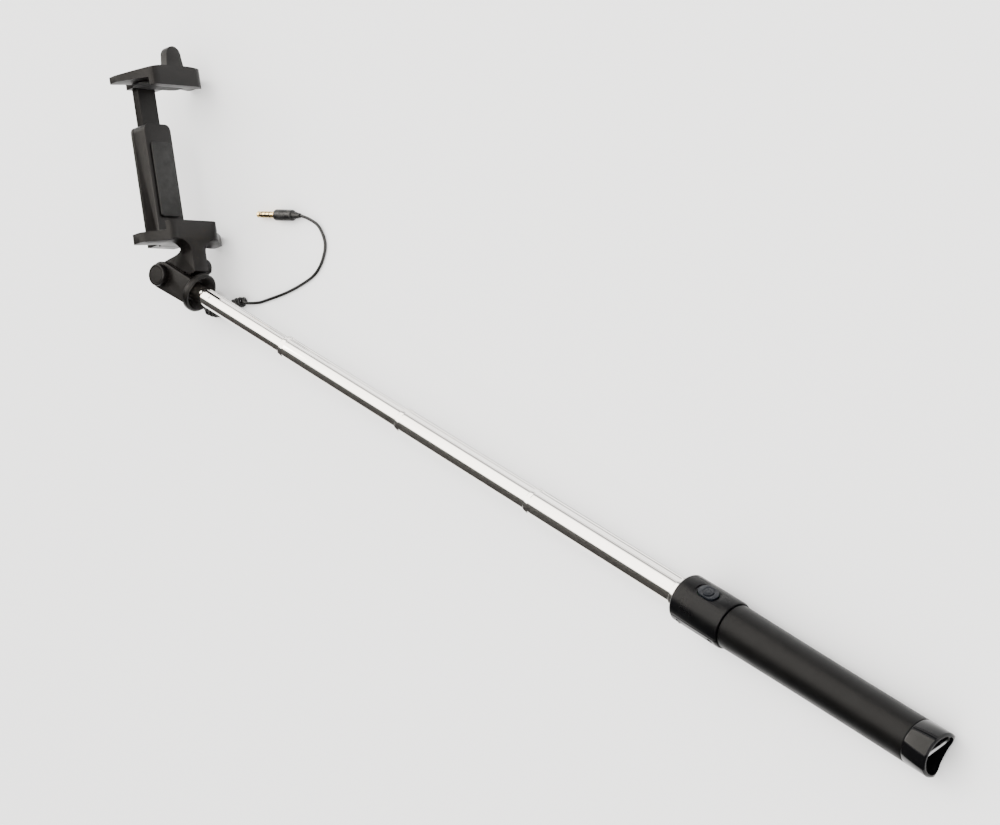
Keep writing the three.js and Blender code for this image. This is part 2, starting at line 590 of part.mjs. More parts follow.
// Drawn along +X from where the cord enters, then turned to lie beside the clamp.
const plug = new THREE.Group();
plug.position.set(...PLUG_AT, PLUG_HEIGHT);
plug.rotation.z = rad(PLUG_TURN);
cord.add(plug);
addPiece(plug, 'plug_relief', turned([
  [0, 0], [0, 1.3], [5.4, 2], [5.4, 0],
], 20), 'rubber');
addPiece(plug, 'plug_body', turned([
  [5.7, 0], [5.7, 2.5], [6.3, 2.95], [17.2, 2.95], [18, 2.4], [18, 0],
]), 'satin');
addPiece(plug, 'jack_pin', turned([
  [18.3, 0], [18.3, 2.3], [18.8, 2.3], [18.8, 1.75], [29.4, 1.75], [30.2, 1.1],
  [31.2, 1.65], [32.4, 0.7], [32.6, 0],
], 20), 'gold');

export default part;
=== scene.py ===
"""Wired telescopic selfie stick lying on its side, with its curly jack cord on the floor."""
import json
import math

import bmesh
import bpy
from mathutils import Matrix, Vector


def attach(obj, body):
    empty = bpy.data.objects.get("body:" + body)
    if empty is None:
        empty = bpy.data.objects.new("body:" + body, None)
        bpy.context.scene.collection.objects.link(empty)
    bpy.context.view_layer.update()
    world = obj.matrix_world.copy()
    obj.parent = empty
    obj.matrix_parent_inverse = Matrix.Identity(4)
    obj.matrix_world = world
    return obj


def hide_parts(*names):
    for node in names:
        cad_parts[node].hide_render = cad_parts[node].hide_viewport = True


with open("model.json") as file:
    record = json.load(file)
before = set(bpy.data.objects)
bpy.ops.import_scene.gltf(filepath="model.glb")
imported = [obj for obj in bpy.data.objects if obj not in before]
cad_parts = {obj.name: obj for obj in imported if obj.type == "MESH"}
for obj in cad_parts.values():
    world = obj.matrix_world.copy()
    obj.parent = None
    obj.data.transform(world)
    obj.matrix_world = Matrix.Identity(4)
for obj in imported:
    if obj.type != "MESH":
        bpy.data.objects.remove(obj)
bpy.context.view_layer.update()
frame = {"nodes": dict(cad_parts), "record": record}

MM = 0.001

# Steps round a turned piece, by how closely it is seen.
ROUND = 96
SMALL_ROUND = 48
PLUG_ROUND = 64
BOLT_ROUND = 80
DIMPLED_ROUND = 144

# Degrees past which an edge stays crisp: on turned pieces, and on moulded pieces after their bevel.
TURNED_CREASE = 32
MOULDED_CREASE = 40


# ---- The stick's own axes, read from the joints -------------------------------------------------
joints = {joint["name"]: joint for joint in frame["record"]["behaviour"]["joints"]}
HINGE = Vector(joints["clamp_tilt"]["pos_m"])
ALONG = Vector(joints["head_slide"]["axis"]).normalized()
ACROSS = Vector(joints["clamp_tilt"]["axis"]).normalized()
CLAMP_UP = Vector(joints["jaw_slide"]["axis"]).normalized()
BUTTON_OUT = -Vector(joints["button_press"]["axis"]).normalized()


def axes(x_axis, y_axis, z_axis, origin):
    """A matrix from a local frame in millimetres to the shared frame in metres."""
    turn = Matrix((x_axis, y_axis, z_axis)).transposed().to_4x4()
    return Matrix.Translation(origin) @ turn @ Matrix.Scale(MM, 4)


STICK = axes(ALONG, ACROSS.cross(ALONG), ACROSS, HINGE)
HANDLE = axes(ALONG, BUTTON_OUT.cross(ALONG), BUTTON_OUT, HINGE)
CLAMP = axes(CLAMP_UP.cross(ACROSS), CLAMP_UP, ACROSS, HINGE)
FLOOR = Matrix.Translation((HINGE.x, HINGE.y, 0)) @ Matrix.Scale(MM, 4)

BODY_OF_NODE = {node: body for body, nodes in frame["record"]["behaviour"]["bodies"].items()
                for node in nodes}


# ---- Camera -------------------------------------------------------------------------------------
# Places in the stick's own frame, in millimetres.
CAMERA_AT = (1666.9, 665.4, 1759.4)
CAMERA_LOOKS_AT = (237.8, 30.1, 0.0)
CAMERA_UP = (-0.41508, 0.90974, 0.00865)
CAMERA_LENS = 173.55
CAMERA_SENSOR = 36
CAMERA_REACH_M = 50


def make_camera():
    """A long lens that looks down on the stick, with its place given along the stick."""
    place = STICK @ Vector(CAMERA_AT)
    back = (place - STICK @ Vector(CAMERA_LOOKS_AT)).normalized()
    up = (STICK.to_3x3() @ Vector(CAMERA_UP)).normalized()
    right = up.cross(back).normalized()
    up = back.cross(right)
    lens = bpy.data.cameras.new("camera")
    lens.lens = CAMERA_LENS
    lens.sensor_width = CAMERA_SENSOR
    lens.clip_end = CAMERA_REACH_M
    camera = bpy.data.objects.new("camera", lens)
    camera.matrix_world = Matrix.Translation(place) @ Matrix((right, up, back)).transposed().to_4x4()
    bpy.context.scene.collection.objects.link(camera)
    bpy.context.scene.camera = camera


# ---- Materials ----------------------------------------------------------------------------------
NOISE_SPAN = (0.3, 0.7)
TONE_BAND = (0.35, 0.65)
ROUGHNESS_NOISE = 1.7
GRAIN_HEIGHT_M = 0.00012
COAT_ROUGHNESS = 0.06


def new_material(name):
    material = bpy.data.materials.new(name)
    material.use_nodes = True
    tree = material.node_tree
    return material, tree, tree.nodes["Principled BSDF"]


def noise(tree, scale, detail, stretch):
    place = tree.nodes.new("ShaderNodeTexCoord")
    mapping = tree.nodes.new("ShaderNodeMapping")
    mapping.inputs["Scale"].default_value = stretch
    texture = tree.nodes.new("ShaderNodeTexNoise")
    texture.inputs["Scale"].default_value = scale
    texture.inputs["Detail"].default_value = detail
    tree.links.new(place.outputs["Object"], mapping.inputs["Vector"])
    tree.links.new(mapping.outputs["Vector"], texture.inputs["Vector"])
    return texture.outputs["Fac"]


def spread(tree, value, low, high):
    """A noise value stretched onto the range from low to high."""
    node = tree.nodes.new("ShaderNodeMapRange")
    node.inputs["From Min"].default_value = NOISE_SPAN[0]
    node.inputs["From Max"].default_value = NOISE_SPAN[1]
    node.inputs["To Min"].default_value = low
    node.inputs["To Max"].default_value = high
    tree.links.new(value, node.inputs["Value"])
    return node.outputs["Result"]


def two_tones(tree, value, dark, light):
    """A colour that wanders between two close tones."""
    ramp = tree.nodes.new("ShaderNodeValToRGB")
    ramp.color_ramp.elements[0].position = TONE_BAND[0]
    ramp.color_ramp.elements[0].color = (*dark, 1)
    ramp.color_ramp.elements[1].position = TONE_BAND[1]
    ramp.color_ramp.elements[1].color = (*light, 1)
    tree.links.new(value, ramp.inputs["Fac"])
    return ramp.outputs["Color"]


def grain_bump(tree, value, strength):
    node = tree.nodes.new("ShaderNodeBump")
    node.inputs["Strength"].default_value = strength
    node.inputs["Distance"].default_value = GRAIN_HEIGHT_M
    tree.links.new(value, node.inputs["Height"])
    return node.outputs["Normal"]


def surface(name, dark, light, rough, grain, bump_strength, metallic=0.0, coat=0.0, blotch=60.0,
            stretch=(1, 1, 1), specular=0.5):
    """A moulded, plated or rubber surface: two close tones, uneven roughness and a fine grain."""
    material, tree, shader = new_material(name)
    colour = two_tones(tree, noise(tree, blotch, 6, stretch), dark, light)
    tree.links.new(colour, shader.inputs["Base Color"])
    unevenness = noise(tree, blotch * ROUGHNESS_NOISE, 5, stretch)
    tree.links.new(spread(tree, unevenness, *rough), shader.inputs["Roughness"])
    height = noise(tree, grain, 3, stretch)
    tree.links.new(grain_bump(tree, height, bump_strength), shader.inputs["Normal"])
    shader.inputs["Metallic"].default_value = metallic
    shader.inputs["Specular IOR Level"].default_value = specular
    if coat:
        shader.inputs["Coat Weight"].default_value = coat
        shader.inputs["Coat Roughness"].default_value = COAT_ROUGHNESS
    return material


# Each finish: dark tone, light tone, roughness from and to, grain scale, grain depth.
MATERIAL = {
    "chrome_tube": surface(
        "polished_chrome", (0.86, 0.835, 0.80), (0.93, 0.91, 0.88),
        (0.015, 0.035), 900, 0.015, metallic=1.0, stretch=(0.15, 1, 1)),
    "nylon": surface(
        "white_nylon", (0.78, 0.76, 0.70), (0.86, 0.84, 0.78),
        (0.45, 0.6), 1500, 0.1),
    "black_core": surface(
        "core_plastic", (0.016, 0.016, 0.017), (0.022, 0.022, 0.023),
        (0.4, 0.6), 2500, 0.2),
    "soft_grip": surface(
        "soft_touch_grip", (0.0018, 0.0017, 0.0018), (0.0026, 0.0025, 0.0026),
        (0.36, 0.44), 5200, 0.14, blotch=45, specular=0.09),
    "satin_black": surface(
        "collar_plastic", (0.0016, 0.0016, 0.0019), (0.0024, 0.0024, 0.0028),
        (0.26, 0.36), 4600, 0.1, blotch=70, specular=0.11),
    "clamp_black": surface(
        "clamp_plastic", (0.0026, 0.0021, 0.0019), (0.004, 0.0033, 0.003),
        (0.3, 0.42), 3900, 0.2, blotch=80, specular=0.14),
    "gloss_black": surface(
        "cap_gloss", (0.002, 0.002, 0.0023), (0.003, 0.003, 0.0034),
        (0.05, 0.11), 1200, 0.02, coat=0.05, blotch=50, specular=0.14),
    "button_black": surface(
        "button_plastic", (0.004, 0.0052, 0.0075), (0.006, 0.0075, 0.0105),
        (0.2, 0.3), 3000, 0.08, blotch=120, specular=0.2),
    "screw_steel": surface(
        "plated_screw", (0.34, 0.34, 0.35), (0.44, 0.44, 0.45),
        (0.25, 0.4), 2000, 0.1, metallic=1.0, blotch=300),
    "board_green": surface(
        "board_lacquer", (0.012, 0.10, 0.045), (0.018, 0.14, 0.06),
        (0.25, 0.4), 1500, 0.15, blotch=400),
    "pad_rubber": surface(
        "pad_rubber", (0.005, 0.005, 0.005), (0.008, 0.008, 0.008),
        (0.6, 0.75), 3000, 0.4, blotch=150, specular=0.25),
    "cord_rubber": surface(
        "cord_rubber", (0.0025, 0.0025, 0.0025), (0.004, 0.004, 0.004),
        (0.32, 0.45), 2500, 0.15, blotch=200, specular=0.3),
    "plug_black": surface(
        "plug_plastic", (0.004, 0.004, 0.004), (0.006, 0.006, 0.006),
        (0.3, 0.42), 3500, 0.15, blotch=150, specular=0.35),
    "jack_metal": surface(
        "gold_plating", (0.78, 0.56, 0.24), (0.86, 0.66, 0.33),
        (0.12, 0.22), 2000, 0.03, metallic=1.0, blotch=250),
}


# ---- Mesh helpers -------------------------------------------------------------------------------
def add_piece(piece, body, stands_for):
    """Puts a piece in the scene, says what it rides on and hides the nodes it stands for."""
    bpy.context.scene.collection.objects.link(piece)
    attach(piece, body)
    if stands_for:
        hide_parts(*stands_for)
    return piece


def mesh_piece(name, bm, slot, body, stands_for, crease):
    """Makes a finished bmesh, already in its place, a piece of the object."""
    mesh = bpy.data.meshes.new(name)
    bm.to_mesh(mesh)
    bm.free()
    mesh.set_sharp_from_angle(angle=math.radians(crease))
    mesh.materials.clear()
    mesh.materials.append(MATERIAL[slot])
    return add_piece(bpy.data.objects.new(name, mesh), body, stands_for)


def turned_piece(name, bm, place, slot, body, stands_for=()):
    """Takes a bmesh made in millimetres to its place and turns its faces outwards."""
    bmesh.ops.transform(bm, matrix=place, verts=bm.verts)
    bmesh.ops.recalc_face_normals(bm, faces=bm.faces)
    for face in bm.faces:
        face.smooth = True
    return mesh_piece(name, bm, slot, body, stands_for, TURNED_CREASE)


def wire_piece(name, points, radius, rounding, slot, body, stands_for):
    """A round wire or cord along points in the shared frame, with its radius in millimetres."""
    curve = bpy.data.curves.new(name, "CURVE")
    curve.dimensions = "3D"
    curve.bevel_depth = radius * MM
    curve.bevel_resolution = rounding
    curve.use_fill_caps = True
    spline = curve.splines.new("POLY")
    spline.points.add(len(points) - 1)
    for knot, point in zip(spline.points, points):
        knot.co = (*point, 1)
    curve.materials.append(MATERIAL[slot])
    return add_piece(bpy.data.objects.new(name, curve), body, stands_for)


def spun(profile, steps=ROUND):
    """A profile of (place along X, radius) turned about X, closed if it starts off the axis."""
    bm = bmesh.new()
    verts = [bm.verts.new((x, radius, 0)) for x, radius in profile]
    pairs = list(zip(verts, verts[1:]))
    if profile[0][1] > 0:
        pairs.append((verts[-1], verts[0]))
    edges = [bm.edges.new(pair) for pair in pairs]
    bmesh.ops.spin(bm, geom=verts + edges, cent=(0, 0, 0), axis=(1, 0, 0), dvec=(0, 0, 0),
                   angle=2 * math.pi, steps=steps, use_merge=True)
    bmesh.ops.remove_doubles(bm, verts=bm.verts, dist=1e-5)
    return bm


def arc(x, radius, bend, start, end, count=4):
    """Points of a rounded corner whose middle is at (x, radius); angles in degrees from +X."""
    points = []
    for i in range(count + 1):
        angle = math.radians(start + (end - start) * i / count)
        points.append((x + bend * math.cos(angle), radius + bend * math.sin(angle)))
    return points


JOIN_WITHIN_M = 2e-6
# Faces within the first angle are one plane. Past the last one an edge is sharp and gets its bevel.
FLAT_WITHIN_DEG = 0.6
CURVED_FROM_RAD = 0.012
SHARP_FROM_DEG = 28


def refined(node, slot, bevel, segments):
    """A copy of a CAD node whose flat faces are joined and whose sharp edges are rounded."""
    source = frame["nodes"][node]
    bm = bmesh.new()
    bm.from_mesh(source.data)
    bmesh.ops.remove_doubles(bm, verts=bm.verts, dist=JOIN_WITHIN_M)
    bmesh.ops.dissolve_limit(bm, angle_limit=math.radians(FLAT_WITHIN_DEG),
                             verts=bm.verts, edges=bm.edges)
    limit = math.radians(SHARP_FROM_DEG)
    for face in bm.faces:
        face.smooth = any(CURVED_FROM_RAD < edge.calc_face_angle(0) < limit for edge in face.edges)
    edges = [edge for edge in bm.edges if edge.calc_face_angle(0) > limit]
    rounded = bmesh.ops.bevel(bm, geom=edges, offset=bevel * MM, offset_type="OFFSET",
                              segments=segments, profile=0.5, affect="EDGES", clamp_overlap=True,
                              material=-1)
    for face in rounded["faces"]:
        face.smooth = True
    mesh_piece(node + "_shell", bm, slot, BODY_OF_NODE[node], (node,), MOULDED_CREASE)


# ---- Cord, plug and gland -----------------------------------------------------------------------
# Millimetres from the floor under the tilt hinge, as in the part's source.
CORD_DIAMETER = 1.6
CURL_DIAMETER = 5.6
CURL_PITCH = 2.5
POINTS_PER_TURN = 16
CURL_OPENING = 0.6
CURL_STEP = 0.12
CURL_TRIM = 4
CURL_SIGHT = 6
CORD_STEP = 1.0
ROUTE_PARTS = 24
EASE_PASSES = 12
EASE_REACH = 7
PLUG_AT = (50.1, 55.7, 3.1)
PLUG_TURN = 201.7
LEAD_ROUTE = [
    (16.67, -3.9, 13.4), (16.6, -4.1, 11.4), (16.1, -4.9, 8.6), (14.4, -6.1, 5.6), (10.8, -7, 3.2),
    (6.4, -7.6, 1.8), (2, -8.6, 1.2), (-1.2, -10.3, 1.3), (-1.9, -13, 1.8), (0.3, -15.5, 2.5),
    (3.2, -16.3, 2.8),
]
CURL_ROUTE = [
    (3.6, -16.3, 2.85), (9, -16.1, 2.85), (14, -14.4, 2.85), (18.4, -10.8, 2.85), (22.4, -6.6, 2.85),
    (26.2, -3.4, 2.85), (30.4, -1.6, 2.85),
]
TAIL_ROUTE = [
    (30.8, -1.5, 2.7), (33.8, -0.6, 1.6), (38.2, 1.7, 0.85), (46, 7.5, 0.85), (55.8, 15.4, 0.85),
    (64.3, 23.8, 0.85), (69.8, 30.7, 0.85), (72.2, 37.4, 0.85), (72.3, 43.9, 0.85), (70.9, 48.6, 0.85),
    (67.4, 52.6, 1), (62.2, 55.7, 1.5), (56, 56.4, 2.5), (50.4, 55.8, 3.08),
]


def smooth_route(route, step):
    """Points about a step apart on one smooth curve through the route."""
    points = [Vector(point) for point in route]
    dense = []
    for i in range(len(points) - 1):
        before = points[max(i - 1, 0)]
        after = points[min(i + 2, len(points) - 1)]
        a, b = points[i], points[i + 1]
        for k in range(ROUTE_PARTS):
            t = k / ROUTE_PARTS
            dense.append(0.5 * ((2 * a) + (b - before) * t
                                + (2 * before - 5 * a + 4 * b - after) * t ** 2
                                + (3 * a - before - 3 * b + after) * t ** 3))
    dense.append(points[-1])
    spaced = [dense[0]]
    for point in dense[1:]:
        if (point - spaced[-1]).length >= step:
            spaced.append(point)
    return spaced


def path_length(points):
    return sum((b - a).length for a, b in zip(points, points[1:]))


def curl_points():
    """The helix round the curly cord's middle line, opening and closing over part of a turn."""
    middle = smooth_route(CURL_ROUTE, CURL_STEP)
    turns = path_length(middle) / CURL_PITCH
    radius = (CURL_DIAMETER - CORD_DIAMETER) / 2
    count = int(turns * POINTS_PER_TURN)
    points = []
    for i in range(count + 1):
        share = i / count
        spot = share * (len(middle) - 1)
        index = min(int(spot), len(middle) - 2)
        here = middle[index].lerp(middle[index + 1], spot - index)
        front = middle[min(index + CURL_SIGHT, len(middle) - 1)]
        ahead = (front - middle[max(index - CURL_SIGHT, 0)]).normalized()
        sideways = Vector((0, 0, 1)).cross(ahead).normalized()
        upward = ahead.cross(sideways)
        angle = 2 * math.pi * turns * share
        opening = min(1, share * turns / CURL_OPENING, (1 - share) * turns / CURL_OPENING)
        points.append(here + (sideways * math.cos(angle) + upward * math.sin(angle)) * radius * opening)
    return points


def eased(route, joint):
    """The route with the bend where two of its lengths meet drawn out."""
    for _ in range(EASE_PASSES):
        for i in range(joint - EASE_REACH, joint + EASE_REACH):
            route[i] = (route[i - 1] + route[i] * 2 + route[i + 1]) / 4
    return route


def make_cord():
    """The lead from the gland, the curls and the straight tail, as one cord."""
    lead = smooth_route(LEAD_ROUTE, CORD_STEP)[:-1]
    curl = curl_points()[CURL_TRIM:-CURL_TRIM]
    route = lead + curl + smooth_route(TAIL_ROUTE, CORD_STEP)[1:]
    route = eased(eased(route, len(lead)), len(lead) + len(curl))
    points = [FLOOR @ point for point in route]
    cord = wire_piece("cord", points, CORD_DIAMETER / 2, 4, "cord_rubber", "head",
                      ("cord_lead", "cord_curl", "cord_tail"))
    return cord, points[0], path_length(points)


PLUG = FLOOR @ Matrix.Translation(PLUG_AT) @ Matrix.Rotation(math.radians(PLUG_TURN), 4, "Z")
RELIEF_RIBS = 4
PLUG_GROOVES = 4
JACK_RINGS = (21.6, 24.4, 27.2)
GLAND_AT = (17.2, -3.5, 0)
GLAND_RIBS = 4


def plug_relief():
    """The ribbed sleeve between the cord and the plug, widening to the plug."""
    profile = [(0, 0), (0, 1.15)]
    for i in range(RELIEF_RIBS):
        start = 0.5 + i * 1.22
        radius = 1.35 + i * 0.2
        profile += [(start, radius - 0.25), (start + 0.25, radius), (start + 0.75, radius + 0.05),
                    (start + 0.95, radius - 0.2)]
    profile += [(5.4, 1.9), (5.4, 0)]
    return turned_piece("plug_relief_ribbed", spun(profile, SMALL_ROUND), PLUG, "cord_rubber", "head",
                        ("plug_relief",))


def plug_body():
    """The plug's round body, with finger grooves."""
    profile = [(5.45, 0), (5.45, 2.1)] + arc(6.0, 2.4, 0.5, 180, 90) + [(7.4, 2.95)]
    for i in range(PLUG_GROOVES):
        start = 9 + i * 1.4
        profile += [(start, 2.95), (start + 0.2, 2.72), (start + 0.5, 2.72), (start + 0.7, 2.95)]
    profile += [(16.6, 2.95)] + arc(17.4, 2.35, 0.6, 90, 0) + [(18, 0)]
    return turned_piece("plug_body_turned", spun(profile, PLUG_ROUND), PLUG, "plug_black", "head",
                        ("plug_body",))


def jack_pin():
    """The plated pin with its waisted tip, and the black rings between its contacts."""
    profile = [(18.1, 0), (18.1, 2.2), (18.7, 2.3), (18.8, 1.75)]
    for ring in JACK_RINGS:
        profile += [(ring, 1.75), (ring, 1.62), (ring + 0.75, 1.62), (ring + 0.75, 1.75)]
    profile += [(29.2, 1.75), (29.5, 1.68), (30.2, 1.15), (30.5, 1.2), (31.1, 1.68), (31.4, 1.6)]
    profile += [(32.4, 0.7), (32.6, 0)]
    pieces = [turned_piece("jack_pin_plated", spun(profile, PLUG_ROUND), PLUG, "jack_metal", "head",
                           ("jack_pin",))]
    for number, ring in enumerate(JACK_RINGS, 1):
        band = [(ring + 0.05, 1.5), (ring + 0.05, 1.76), (ring + 0.7, 1.76), (ring + 0.7, 1.5)]
        pieces.append(turned_piece(f"jack_ring_{number}", spun(band, PLUG_ROUND), PLUG, "plug_black",
                                   "head"))
    return pieces


def cord_gland():
    """The ribbed sleeve where the cord leaves the head, narrowing away from it."""
    at = STICK @ Matrix.Translation(GLAND_AT) @ Matrix.Rotation(math.radians(90), 4, "Y")
    profile = [(6.7, 0.95), (6.7, 2), (8.35, 2), (8.35, 2.6), (8.5, 2.7), (8.95, 2.7), (9.1, 2.5)]
    for i in range(GLAND_RIBS):
        start = 9.4 + i * 1.45
        radius = 2.35 - i * 0.18
        profile += [(start, radius - 0.35), (start + 0.25, radius), (start + 0.85, radius - 0.05),
                    (start + 1.1, radius - 0.35)]
    profile += [(15.4, 1.55), (15.6, 1.4), (15.6, 0.95)]
    return turned_piece("cord_gland_ribbed", spun(profile, SMALL_ROUND), at, "cord_rubber", "head",
                        ("cord_gland",))


def lay_cord():
    """The cord with its gland, plug and jack."""
    gland = cord_gland()
    cord, exit_point, length = make_cord()
    plug_pieces = [plug_relief(), plug_body()] + jack_pin()


# ---- Telescopic tubes ---------------------------------------------------------------------------
TUBE_RADIUS = (4.8, 5.8, 6.5, 7.15, 7.95)
MOUTH = (14, 91, 181, 275.5, 377)
TAIL_END = (111, 204, 306, 411, 524)
TUBE_BODY = ("head", "stage_2", "stage_3", "stage_4", "handle")
TUBE_WALL = 0.4
LIP = 3.0
DIMPLES = (27.5, 33.5)
DIMPLE_TURN = 28
DIMPLE_RADIUS = 0.75
DIMPLE_DEPTH = 0.42
DIMPLE_ROWS_FROM = 24
DIMPLE_ROW = 0.2
DIMPLE_ROWS = 66


def top_tube():
    """The thinnest tube, with the two punch marks that keep it in the cup."""
    outer = TUBE_RADIUS[0]
    inner = outer - TUBE_WALL
    rows = [DIMPLE_ROWS_FROM + DIMPLE_ROW * i for i in range(DIMPLE_ROWS)]
    profile = [(MOUTH[0], outer)] + [(x, outer) for x in rows]
    profile += [(TAIL_END[0], outer), (TAIL_END[0], inner), (MOUTH[0], inner)]
    bm = spun(profile, DIMPLED_ROUND)
    turn = math.radians(DIMPLE_TURN)
    for at in DIMPLES:
        middle = Vector((at, outer * math.sin(turn), outer * math.cos(turn)))
        for vert in bm.verts:
            away = (vert.co - middle).length
            if away < DIMPLE_RADIUS * 1.5 and math.hypot(vert.co.y, vert.co.z) > outer - 0.1:
                drop = DIMPLE_DEPTH * math.exp(-(away / (DIMPLE_RADIUS * 0.6)) ** 2)
                vert.co -= Vector((0, middle.y, middle.z)).normalized() * drop
    turned_piece("tube_1_chrome", bm, STICK, "chrome_tube", "head", ("tube_1",))


def swaged_tube(index):
    """A tube with a rolled mouth: a raised band, a fine groove behind it and a turned-in lip."""
    outer = TUBE_RADIUS[index]
    inner = outer - TUBE_WALL
    throat = TUBE_RADIUS[index - 1] + 0.15
    x = MOUTH[index]
    profile = [(x + 0.2, throat), (x, throat + 0.15), (x, outer - 0.5)]
    profile += arc(x + 0.45, outer - 0.3, 0.45, 180, 90)
    profile += [(x + LIP - 0.6, outer + 0.15), (x + LIP - 0.25, outer + 0.1), (x + LIP, outer - 0.14),
                (x + LIP + 0.35, outer - 0.12), (x + LIP + 0.9, outer)]
    profile += [(TAIL_END[index], outer), (TAIL_END[index], inner), (x + 3, inner), (x + 1.4, throat)]
    turned_piece(f"tube_{index + 1}_chrome", spun(profile), STICK, "chrome_tube", TUBE_BODY[index],
                 (f"tube_{index + 1}",))


# ---- Handle -------------------------------------------------------------------------------------
GRIP_START = 413
GRIP_END = 531
GRIP_RADIUS = 11.3
CORE_RADIUS = 10.1
BUTTON_AT = 397.5
WAIST_POINTS = 24
WAIST_DEPTH = 0.22
BUTTON_RINGS = ((2.55, 12.78), (1.3, 12.82))


def grip_sleeve():
    """The moulded sleeve: rolled ends and a faint waist."""
    profile = [(GRIP_START + 0.3, CORE_RADIUS + 0.25)]
    profile += arc(GRIP_START + 0.9, GRIP_RADIUS - 0.6, 0.6, 180, 90, 5)
    for i in range(1, WAIST_POINTS):
        share = i / WAIST_POINTS
        waist = WAIST_DEPTH * math.sin(math.pi * share) ** 0.7
        profile.append((GRIP_START + 1 + (GRIP_END - GRIP_START - 2) * share, GRIP_RADIUS - waist))
    profile += arc(GRIP_END - 0.8, GRIP_RADIUS - 0.5, 0.5, 90, 0, 5)
    profile += [(GRIP_END - 0.3, CORE_RADIUS + 0.25)]
    turned_piece("grip_sleeve_soft", spun(profile), STICK, "soft_grip", "handle", ("grip_sleeve",))


def button_rings():
    """Two fine raised rings on the button, in place of any mark."""
    stand = HANDLE @ Matrix.Translation((BUTTON_AT, 0, 0)) @ Matrix.Rotation(math.radians(-90), 4, "Y")
    for number, (radius, height) in enumerate(BUTTON_RINGS, 1):
        band = spun([(height - 0.25, radius - 0.16), (height, radius - 0.08), (height, radius + 0.08),
                     (height - 0.25, radius + 0.16)], SMALL_ROUND)
        turned_piece(f"button_ring_{number}", band, stand, "button_black", "button")


def make_handle():
    grip_sleeve()
    refined("housing_top", "satin_black", 0.22, 3)
    refined("housing_bottom", "satin_black", 0.22, 3)
    refined("shutter_button", "button_black", 0.22, 3)
    refined("tail_cap", "gloss_black", 0.3, 3)
    button_rings()


# ---- Head and clamp -----------------------------------------------------------------------------
FORK_HALF = 8
BOLT_HEAD = 3.6
SPRING_TURNS = 20
SPRING_POINTS = 14
SPRING_RADIUS = 1.95
SPRING_WIRE_RADIUS = 0.4
SPRING_BACK = -0.2
SPRING_FROM = 23
SPRING_LENGTH = 20
SPRING_FOOT = [(-0.2, 20.9, 0), (0.6, 21.4, 0), (1.4, 22.4, 0)]
SPRING_HEAD = [(1.4, 43.8, 0), (0.4, 44.8, 0), (-0.2, 45.3, 0)]


def hinge_bolt():
    """Round-headed bolt: a chamfered rim round a flat sunk disc, and its shank."""
    face = FORK_HALF + BOLT_HEAD
    profile = [(-16.2, 0), (-16.2, 1.6), (-15.9, 1.9), (FORK_HALF + 0.2, 1.9), (FORK_HALF + 0.2, 5.3)]
    profile += arc(FORK_HALF + 0.6, 5.35, 0.35, 180, 90, 3)
    profile += [(face - 1.0, 5.7)] + arc(face - 0.75, 4.95, 0.75, 90, 0, 4)
    profile += [(face, 4.75), (face - 0.3, 4.62), (face - 0.32, 4.4), (face - 0.12, 4.25),
                (face - 0.08, 0)]
    turn = STICK @ Matrix.Rotation(math.radians(-90), 4, "Y")
    turned_piece("hinge_bolt_turned", spun(profile, BOLT_ROUND), turn, "clamp_black", "head",
                 ("hinge_bolt",))


def clamp_spring():
    """The tension spring in the back plate's channel, close wound with a hook at each end."""
    count = SPRING_TURNS * SPRING_POINTS
    coil = []
    for i in range(count + 1):
        angle = 2 * math.pi * i / SPRING_POINTS
        coil.append((SPRING_BACK + SPRING_RADIUS * math.cos(angle),
                     SPRING_FROM + SPRING_LENGTH * i / count, SPRING_RADIUS * math.sin(angle)))
    points = [CLAMP @ Vector(point) for point in SPRING_FOOT + coil + SPRING_HEAD]
    wire_piece("clamp_spring_wire", points, SPRING_WIRE_RADIUS, 2, "screw_steel", "clamp",
               ("clamp_spring",))


def make_head():
    refined("head_fork", "clamp_black", 0.35, 3)
    refined("lower_jaw", "clamp_black", 0.7, 3)
    refined("upper_jaw", "clamp_black", 1.5, 4)
    refined("plate_cover", "clamp_black", 0.4, 2)
    refined("wing_nut", "clamp_black", 0.5, 3)
    for pad in ("lower_pad", "upper_pad", "back_pad"):
        refined(pad, "pad_rubber", 0.25, 2)
    hinge_bolt()
    clamp_spring()


def paint_frame():
    """The CAD nodes that stay get the finish of their slot."""
    slots = {part["node"]: part["material_slot"] for part in frame["record"]["subparts"]}
    for name, node in frame["nodes"].items():
        node.data.materials.clear()
        node.data.materials.append(MATERIAL[slots[name]])


# ---- Studio -------------------------------------------------------------------------------------
# Places and sizes in metres.
FLOOR_LEVEL = -0.0002
LINE_LEVEL = 0.0003
LINE_FROM = -0.03
LINE_TO = 0.38
LINE_WIDTH = 0.006
LINE_TONE = (0.004, 0.0035, 0.003)
STRIP_TONE = (0.012, 0.011, 0.01)
SCREEN_TONE = (0.0025, 0.0018, 0.0013)
DAYLIGHT = (1, 0.99, 0.975, 1)
DAYLIGHT_STRENGTH = 2.1
CHROME_LIGHT_STRENGTH = 3.6
KEY_WATTS = 48
LEFT_WATTS = 9


def card(name, corners, colour, strength=0.0):
    """A matt sheet of the studio, which may glow."""
    mesh = bpy.data.meshes.new(name)
    mesh.from_pydata([Vector(corner) for corner in corners], [], [(0, 1, 2, 3)])
    material, tree, shader = new_material(name)
    shader.inputs["Base Color"].default_value = (*colour, 1)
    shader.inputs["Roughness"].default_value = 0.9
    if strength:
        shader.inputs["Emission Color"].default_value = (*colour, 1)
        shader.inputs["Emission Strength"].default_value = strength
    mesh.materials.append(material)
    piece = bpy.data.objects.new(name, mesh)
    bpy.context.scene.collection.objects.link(piece)
    return piece


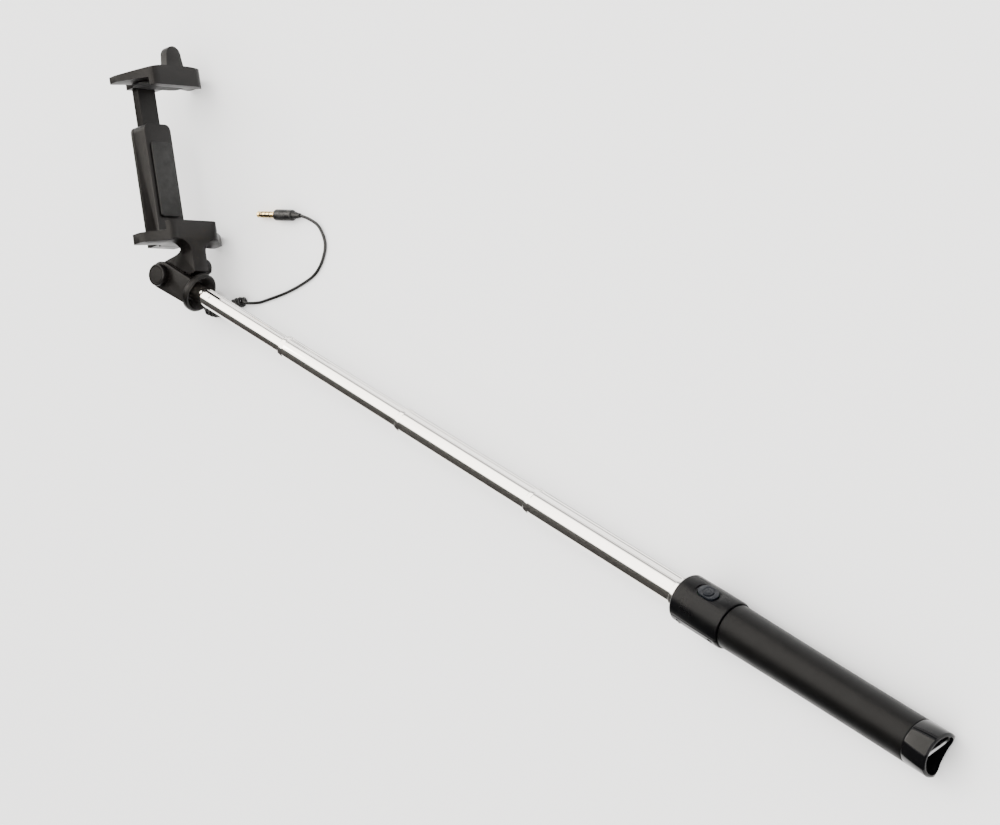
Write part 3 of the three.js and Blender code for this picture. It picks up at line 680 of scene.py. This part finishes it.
def area_light(name, place, aim, size, power, tint):
    light = bpy.data.lights.new(name, "AREA")
    light.shape = "RECTANGLE"
    light.size, light.size_y = size
    light.energy = power
    light.color = tint
    lamp = bpy.data.objects.new(name, light)
    lamp.location = place
    lamp.rotation_euler = (Vector(aim) - Vector(place)).to_track_quat("-Z", "Y").to_euler()
    bpy.context.scene.collection.objects.link(lamp)


def hidden_card(name, corners, colour, strength=0.0):
    """A card that is seen only in glossy surfaces."""
    piece = card(name, corners, colour, strength)
    piece.visible_camera = False
    piece.visible_diffuse = False
    piece.visible_shadow = False


def under_line(name, head_side, tail_side):
    """A thin dark line on the floor beside the stick, for the chrome to pick up."""
    start = Vector((HINGE.x + LINE_FROM, HINGE.y + head_side, LINE_LEVEL))
    end = Vector((HINGE.x + LINE_TO, HINGE.y + tail_side, LINE_LEVEL))
    side = Vector((0, LINE_WIDTH, 0))
    hidden_card(name, [start, end, end + side, start + side], LINE_TONE)


def make_studio():
    """A pale floor, soft light from above, and the cards that give the chrome its bands."""
    level = FLOOR_LEVEL
    card("floor", [(-6, -6, level), (6, -6, level), (6, 6, level), (-6, 6, level)],
         (0.97, 0.97, 0.97))
    # A dark screen beside the stick draws the dark band along the lower side of the chrome.
    hidden_card("dark_screen",
                [(-2.6, -0.9, 0), (2.4, -0.9, 0), (2.4, -0.45, 1.2), (-2.6, -0.45, 1.2)], SCREEN_TONE)
    # Thin strips on the other side draw the fine lines above the bright band.
    hidden_card("upper_strip",
                [(-2.6, 1.1, 0.22), (2.4, 1.1, 0.22), (2.4, 1.08, 0.36), (-2.6, 1.08, 0.36)],
                STRIP_TONE)
    hidden_card("horizon_strip",
                [(-2.6, 1.4, 0.0), (2.4, 1.4, 0.0), (2.4, 1.4, 0.05), (-2.6, 1.4, 0.05)], STRIP_TONE)
    # A warm sheet of light overhead draws the bright band along the upper side of the chrome.
    hidden_card("chrome_light",
                [(-2.8, -0.42, 1.5), (2.0, -0.42, 1.5), (2.0, 2.1, 1.0), (-2.8, 2.1, 1.0)],
                (1, 0.96, 0.89), CHROME_LIGHT_STRENGTH)
    under_line("outer_line", 0.034, 0.017)
    under_line("inner_line", 0.006, 0.0)
    world = bpy.data.worlds.new("studio")
    world.use_nodes = True
    background = world.node_tree.nodes["Background"]
    background.inputs["Color"].default_value = DAYLIGHT
    background.inputs["Strength"].default_value = DAYLIGHT_STRENGTH
    bpy.context.scene.world = world
    area_light("key_softbox", (0.1, 0.7, 1.9), (0, 0, 0), (2.8, 1.0), KEY_WATTS, (1, 0.99, 0.97))
    area_light("left_softbox", (-1.9, 0.1, 1.0), (-0.1, 0, 0), (0.8, 0.8), LEFT_WATTS, (1, 0.96, 0.92))


make_camera()
lay_cord()
top_tube()
for stage in range(1, len(TUBE_RADIUS)):
    swaged_tube(stage)
make_handle()
make_head()
paint_frame()
make_studio()
